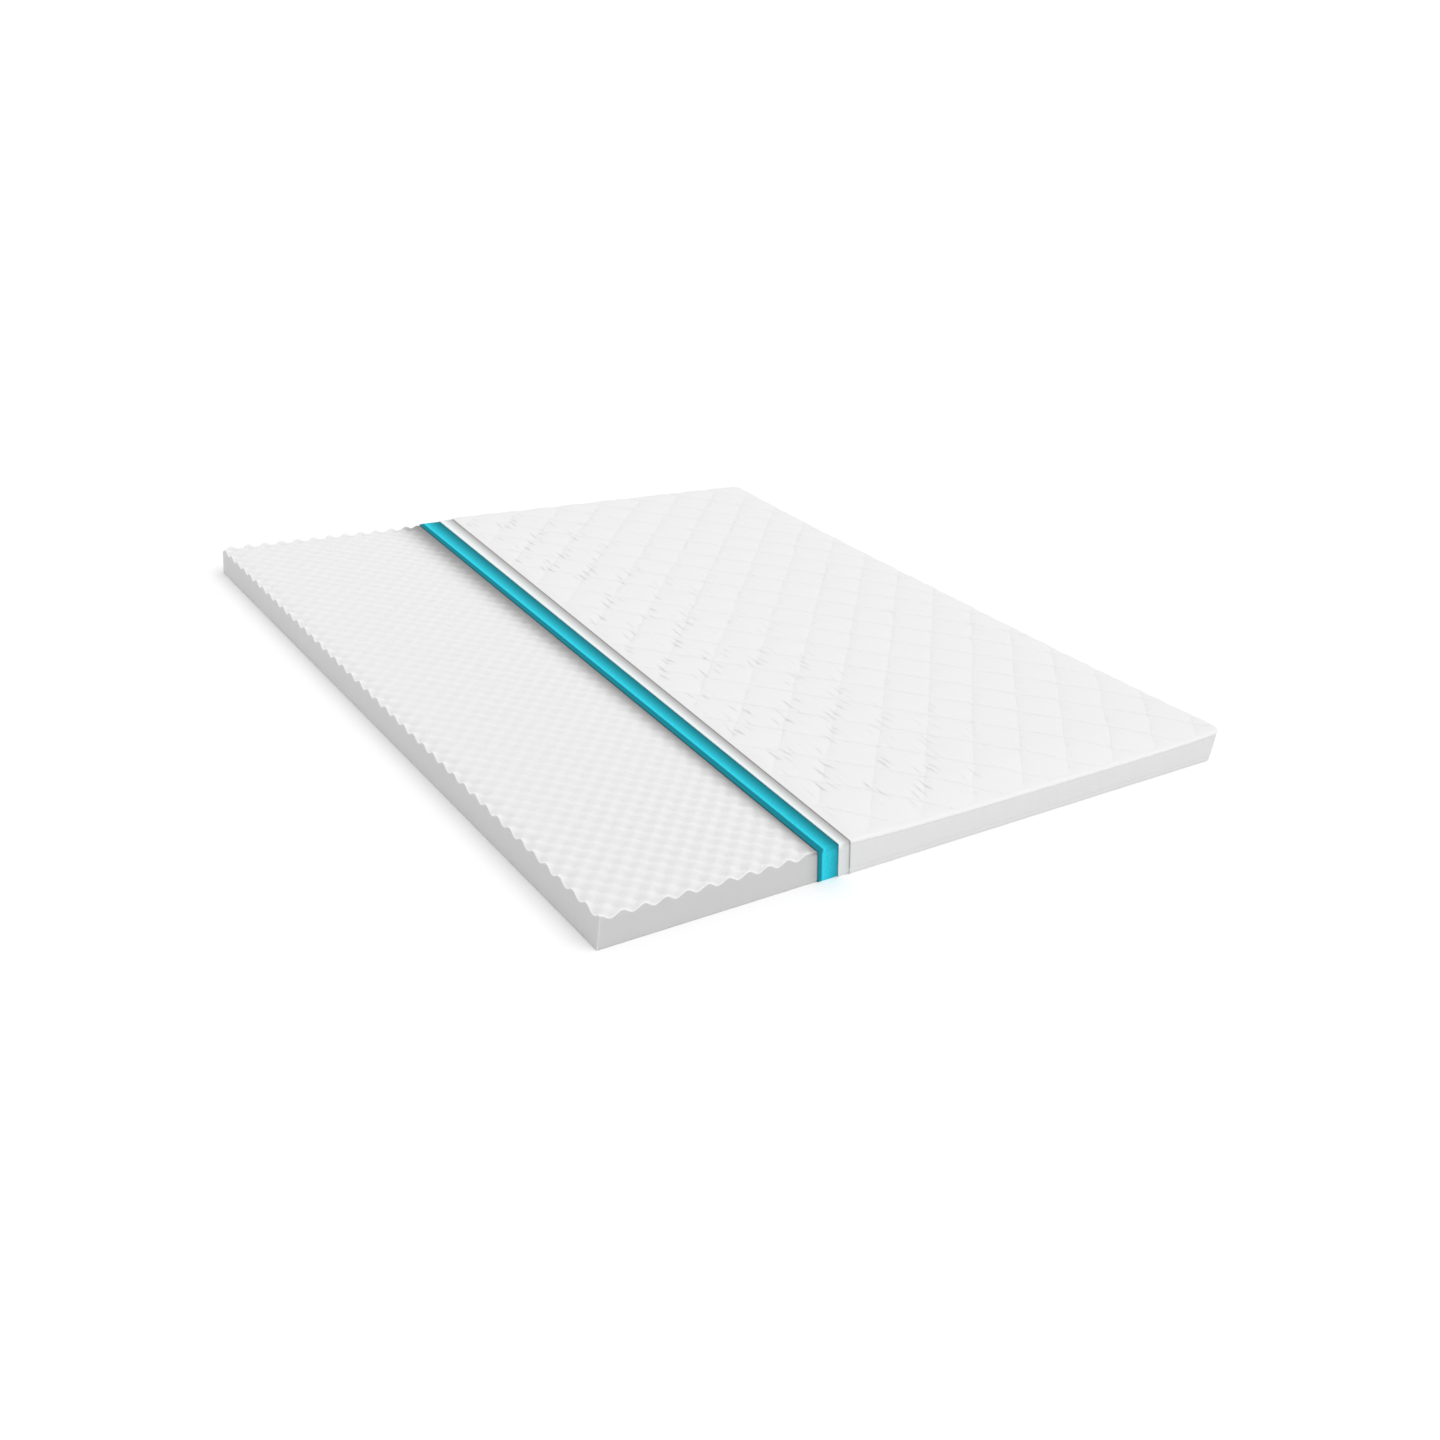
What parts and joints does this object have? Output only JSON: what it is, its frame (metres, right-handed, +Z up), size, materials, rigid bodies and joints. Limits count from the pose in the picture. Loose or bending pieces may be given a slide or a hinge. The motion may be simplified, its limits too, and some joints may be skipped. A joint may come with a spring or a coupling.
{
  "type": "mattress topper",
  "caption": "Thin foam mattress topper with a quilted cover, cut away in slanted steps to show two inner sleeves and an egg-crate foam core.",
  "frame": {"origin": "centre of the underside, on the surface that the topper lies on", "axes": "+X across the topper from the bare foam to the covered side, +Y along it from front to back, +Z up"},
  "size_m": [1.8, 2, 0.0882],
  "materials": {
    "foam": "open-cell soft foam, matte",
    "teal_cloth": "soft felt, matte",
    "white_cloth": "bonded non-woven, matte",
    "quilted_cover": "quilted jersey, matte",
    "plain_cover": "plain jersey, matte",
    "backing": "plain backing cloth, matte"
  },
  "bodies": {
    "root": {"foam_core": "foam", "teal_sleeve": "teal_cloth", "white_sleeve": "white_cloth", "cover_top_panel": "quilted_cover", "cover_side_band": "plain_cover", "cover_bottom_panel": "backing"}
  },
  "joints": []
}
